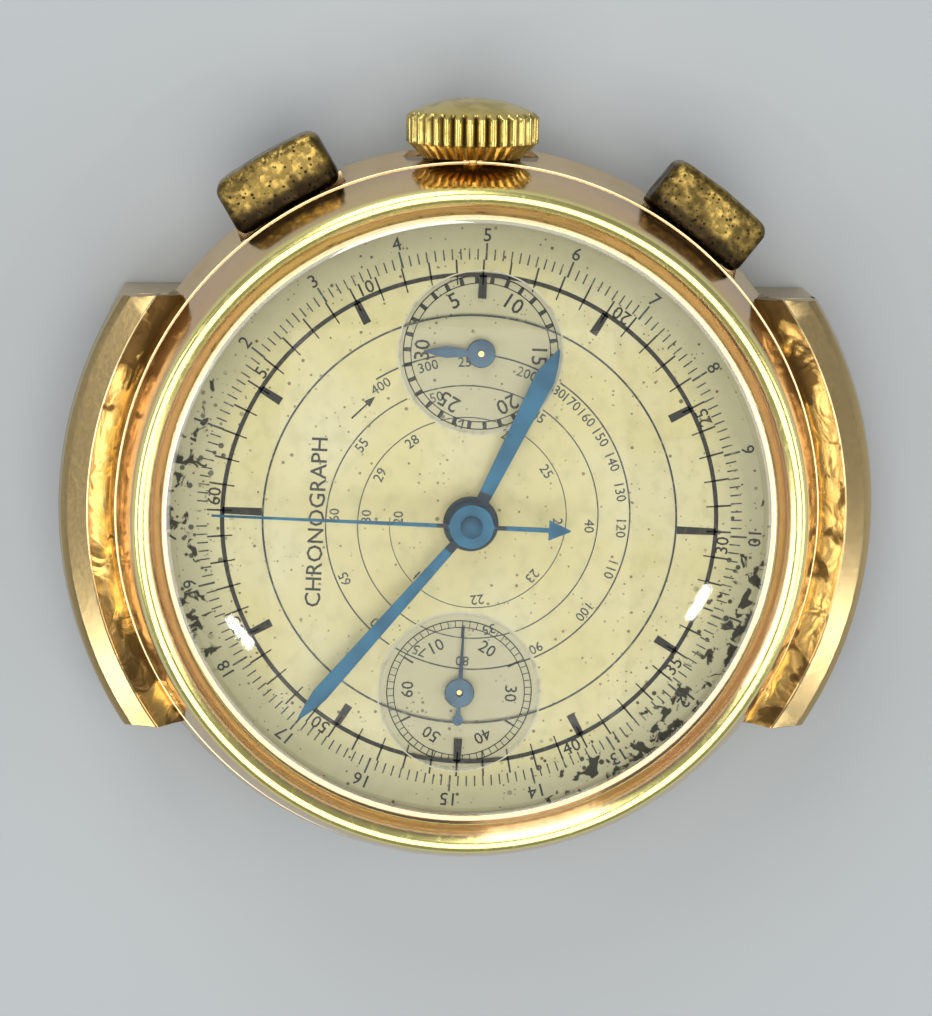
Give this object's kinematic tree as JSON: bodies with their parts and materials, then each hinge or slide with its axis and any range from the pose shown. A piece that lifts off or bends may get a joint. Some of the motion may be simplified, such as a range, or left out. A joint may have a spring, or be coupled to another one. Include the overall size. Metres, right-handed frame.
{
  "type": "two-register chronograph wristwatch head",
  "caption": "Round chronograph watch head with hooded lugs, fluted crown, rectangular pushers and a hand-wound column wheel movement behind a cream dial.",
  "frame": {"origin": "centre of the case back's flat outer face", "axes": "+Z out of the dial, +X to the crown at 3 o'clock, +Y to 12 o'clock"},
  "size_m": [0.0399, 0.042, 0.0126],
  "materials": {
    "gold_case": "polished gold with rubbed edges",
    "gold_crown": "gold, worn flutes",
    "aged_brass": "dark, pitted and tarnished",
    "crystal": "clear, domed",
    "cream_dial": "matt cream, aged",
    "blued_steel": "heat blued",
    "nickel_plate": "nickel plated, grained",
    "gilt_brass": "gilt",
    "steel_parts": "polished flats",
    "spring_steel": "blued spring",
    "blued_screws": "blued",
    "ruby": "polished ruby"
  },
  "bodies": {
    "case": {"mid_case": "gold_case", "bezel": "gold_case", "crystal": "crystal", "case_back": "gold_case", "lug_hood_12": "gold_case", "lug_hood_6": "gold_case", "strap_bar_12": "gold_case", "strap_bar_6": "gold_case", "crown_tube": "aged_brass", "pusher_tubes": "aged_brass", "movement_ring": "nickel_plate", "case_screws": "blued_screws", "mainplate": "nickel_plate", "barrel_bridge": "nickel_plate", "train_bridge": "nickel_plate", "pallet_cock": "nickel_plate", "balance_cock": "nickel_plate", "chronograph_bridge": "nickel_plate", "bridge_screws": "blued_screws", "bearing_jewels": "ruby", "dial": "cream_dial", "hairspring": "spring_steel"},
    "winding_pinion": {"winding_pinion": "steel_parts"},
    "crown": {"crown": "gold_crown", "winding_stem": "steel_parts"},
    "sliding_clutch": {"sliding_clutch": "steel_parts"},
    "yoke": {"yoke": "steel_parts"},
    "setting_lever": {"setting_lever": "steel_parts"},
    "crown_wheel": {"crown_wheel": "steel_parts"},
    "ratchet_wheel": {"ratchet_wheel": "steel_parts", "barrel_arbor": "steel_parts"},
    "click": {"click": "steel_parts"},
    "barrel": {"barrel": "gilt_brass", "barrel_cover": "gilt_brass", "mainspring": "spring_steel"},
    "centre_wheel": {"centre_wheel": "gilt_brass"},
    "third_wheel": {"third_wheel": "gilt_brass"},
    "fourth_wheel": {"fourth_wheel": "gilt_brass", "small_seconds_hand": "blued_steel"},
    "escape_wheel": {"escape_wheel": "steel_parts"},
    "pallet_fork": {"pallet_fork": "steel_parts"},
    "balance": {"balance_wheel": "gilt_brass"},
    "cannon_pinion": {"cannon_pinion": "gilt_brass", "minute_hand": "blued_steel"},
    "minute_wheel": {"minute_wheel": "gilt_brass"},
    "hour_wheel": {"hour_wheel": "gilt_brass", "hour_hand": "blued_steel"},
    "chronograph_wheel": {"chronograph_wheel": "gilt_brass", "chronograph_hand": "blued_steel"},
    "minute_recorder": {"minute_recorder": "gilt_brass", "minute_counter_hand": "blued_steel"},
    "intermediate_wheel": {"intermediate_wheel": "gilt_brass"},
    "coupling_clutch": {"coupling_clutch": "steel_parts"},
    "coupling_wheel": {"coupling_wheel": "gilt_brass"},
    "column_wheel": {"column_wheel": "steel_parts"},
    "start_pusher": {"pusher_start": "aged_brass"},
    "start_lever": {"start_lever": "steel_parts"},
    "reset_pusher": {"pusher_reset": "aged_brass"},
    "hammer": {"hammer": "steel_parts"},
    "brake_lever": {"brake_lever": "steel_parts"}
  },
  "joints": [
    {"name": "crown_turn", "type": "hinge", "parent": "case", "child": "winding_pinion", "pos_m": [0.01235, 0, 0.0059], "axis": [1, 0, 0], "continuous": true},
    {"name": "crown_pull", "type": "slide", "parent": "winding_pinion", "child": "crown", "axis": [1, 0, 0], "range_m": [0, 0.0008]},
    {"name": "clutch_slide", "type": "slide", "parent": "winding_pinion", "child": "sliding_clutch", "axis": [-1, 0, 0], "range_m": [0, 0.00058]},
    {"name": "yoke_swing", "type": "hinge", "parent": "case", "child": "yoke", "pos_m": [0.0114, 0.004, 0.0066], "axis": [0, 0, 1], "range_deg": [-10.5, 0]},
    {"name": "setting_lever_swing", "type": "hinge", "parent": "case", "child": "setting_lever", "pos_m": [0.0133, -0.003, 0.0066], "axis": [0, 0, 1], "range_deg": [-17.6, 0]},
    {"name": "crown_wheel_turn", "type": "hinge", "parent": "case", "child": "crown_wheel", "pos_m": [0.0104, 0.0013, 0.0041], "axis": [0, 0, 1], "continuous": true},
    {"name": "ratchet_turn", "type": "hinge", "parent": "case", "child": "ratchet_wheel", "pos_m": [0.0043, 0.00382, 0.0054], "axis": [0, 0, 1], "continuous": true},
    {"name": "click_rock", "type": "hinge", "parent": "case", "child": "click", "pos_m": [0.0082, 0.0079, 0.0039], "axis": [0, 0, 1], "range_deg": [0, 10], "stiffness_Nm_per_rad": 0.000002},
    {"name": "seconds_turn", "type": "hinge", "parent": "case", "child": "fourth_wheel", "pos_m": [-0.00889, 0.00043, 0.0052], "axis": [0, 0, 1], "continuous": true},
    {"name": "third_turn", "type": "hinge", "parent": "case", "child": "third_wheel", "pos_m": [-0.00455, -0.00129, 0.0052], "axis": [0, 0, 1], "continuous": true},
    {"name": "centre_turn", "type": "hinge", "parent": "case", "child": "centre_wheel", "pos_m": [0, 0, 0.005], "axis": [0, 0, 1], "continuous": true},
    {"name": "barrel_turn", "type": "hinge", "parent": "case", "child": "barrel", "pos_m": [0.0043, 0.00382, 0.0058], "axis": [0, 0, 1], "continuous": true},
    {"name": "escape_turn", "type": "hinge", "parent": "case", "child": "escape_wheel", "pos_m": [-0.0083, -0.0042, 0.0052], "axis": [0, 0, 1], "continuous": true},
    {"name": "pallet_rock", "type": "hinge", "parent": "case", "child": "pallet_fork", "pos_m": [-0.00675, -0.00591, 0.0053], "axis": [0, 0, 1], "range_deg": [-5, 5]},
    {"name": "balance_swing", "type": "hinge", "parent": "case", "child": "balance", "pos_m": [-0.0046, -0.0083, 0.0043], "axis": [0, 0, 1], "range_deg": [-220, 220], "stiffness_Nm_per_rad": 0.00000014},
    {"name": "minute_turn", "type": "hinge", "parent": "case", "child": "cannon_pinion", "pos_m": [0, 0, 0.0079], "axis": [0, 0, 1], "continuous": true},
    {"name": "minute_wheel_turn", "type": "hinge", "parent": "case", "child": "minute_wheel", "pos_m": [-0.0015, 0.0026, 0.0075], "axis": [0, 0, 1], "continuous": true},
    {"name": "hour_turn", "type": "hinge", "parent": "case", "child": "hour_wheel", "pos_m": [0, 0, 0.0079], "axis": [0, 0, 1], "continuous": true},
    {"name": "chronograph_turn", "type": "hinge", "parent": "case", "child": "chronograph_wheel", "pos_m": [0, 0, 0.0031], "axis": [0, 0, 1], "continuous": true},
    {"name": "minute_counter_turn", "type": "hinge", "parent": "case", "child": "minute_recorder", "pos_m": [0.00859, -0.00044, 0.0028], "axis": [0, 0, 1], "continuous": true},
    {"name": "intermediate_turn", "type": "hinge", "parent": "case", "child": "intermediate_wheel", "pos_m": [0.00507, -0.00026, 0.0028], "axis": [0, 0, 1], "continuous": true},
    {"name": "start_press", "type": "slide", "parent": "case", "child": "start_pusher", "axis": [-0.8634, -0.5045, 0], "range_m": [0, 0.0009], "stiffness_N_per_m": 600},
    {"name": "start_lever_swing", "type": "hinge", "parent": "case", "child": "start_lever", "pos_m": [0.0095, 0.0092, 0.0034], "axis": [0, 0, 1], "range_deg": [-9, 0]},
    {"name": "reset_press", "type": "slide", "parent": "case", "child": "reset_pusher", "axis": [-0.7869, 0.617, 0], "range_m": [0, 0.0009], "stiffness_N_per_m": 600},
    {"name": "hammer_swing", "type": "hinge", "parent": "case", "child": "hammer", "pos_m": [0.0025, -0.0105, 0.0024], "axis": [0, 0, 1], "range_deg": [0, 4]},
    {"name": "coupling_swing", "type": "hinge", "parent": "case", "child": "coupling_clutch", "pos_m": [-0.00889, 0.00043, 0.0034], "axis": [0, 0, 1], "range_deg": [-10, 0], "stiffness_Nm_per_rad": 0.000002},
    {"name": "coupling_turn", "type": "hinge", "parent": "coupling_clutch", "child": "coupling_wheel", "pos_m": [-0.00448, 0.00105, 0.0031], "axis": [0, 0, 1], "continuous": true},
    {"name": "column_turn", "type": "hinge", "parent": "case", "child": "column_wheel", "pos_m": [0.0022, 0.011, 0.0034], "axis": [0, 0, 1], "continuous": true},
    {"name": "brake_swing", "type": "hinge", "parent": "case", "child": "brake_lever", "pos_m": [0.0065, -0.0036, 0.0031], "axis": [0, 0, 1], "range_deg": [-4, 0], "stiffness_Nm_per_rad": 0.000002}
  ],
  "couplings": [
    {"joint": "clutch_slide", "follows": "crown_pull", "ratio": 0.7},
    {"joint": "yoke_swing", "follows": "crown_pull", "rad_per_m": -223},
    {"joint": "setting_lever_swing", "follows": "crown_pull", "rad_per_m": -381},
    {"joint": "crown_wheel_turn", "follows": "crown_turn", "ratio": 0.5},
    {"joint": "ratchet_turn", "follows": "crown_turn", "ratio": -0.25},
    {"joint": "third_turn", "follows": "seconds_turn", "ratio": -0.13333},
    {"joint": "centre_turn", "follows": "seconds_turn", "ratio": 0.016667},
    {"joint": "barrel_turn", "follows": "seconds_turn", "ratio": -0.0025},
    {"joint": "escape_turn", "follows": "seconds_turn", "ratio": -10},
    {"joint": "coupling_turn", "follows": "seconds_turn", "ratio": -2.8571},
    {"joint": "minute_wheel_turn", "follows": "minute_turn", "ratio": -0.33333},
    {"joint": "hour_turn", "follows": "minute_turn", "ratio": 0.083333},
    {"joint": "minute_counter_turn", "follows": "chronograph_turn", "ratio": 0.033333},
    {"joint": "intermediate_turn", "follows": "chronograph_turn", "ratio": -0.029412},
    {"joint": "start_lever_swing", "follows": "start_press", "rad_per_m": -160},
    {"joint": "hammer_swing", "follows": "reset_press", "rad_per_m": 75}
  ]
}
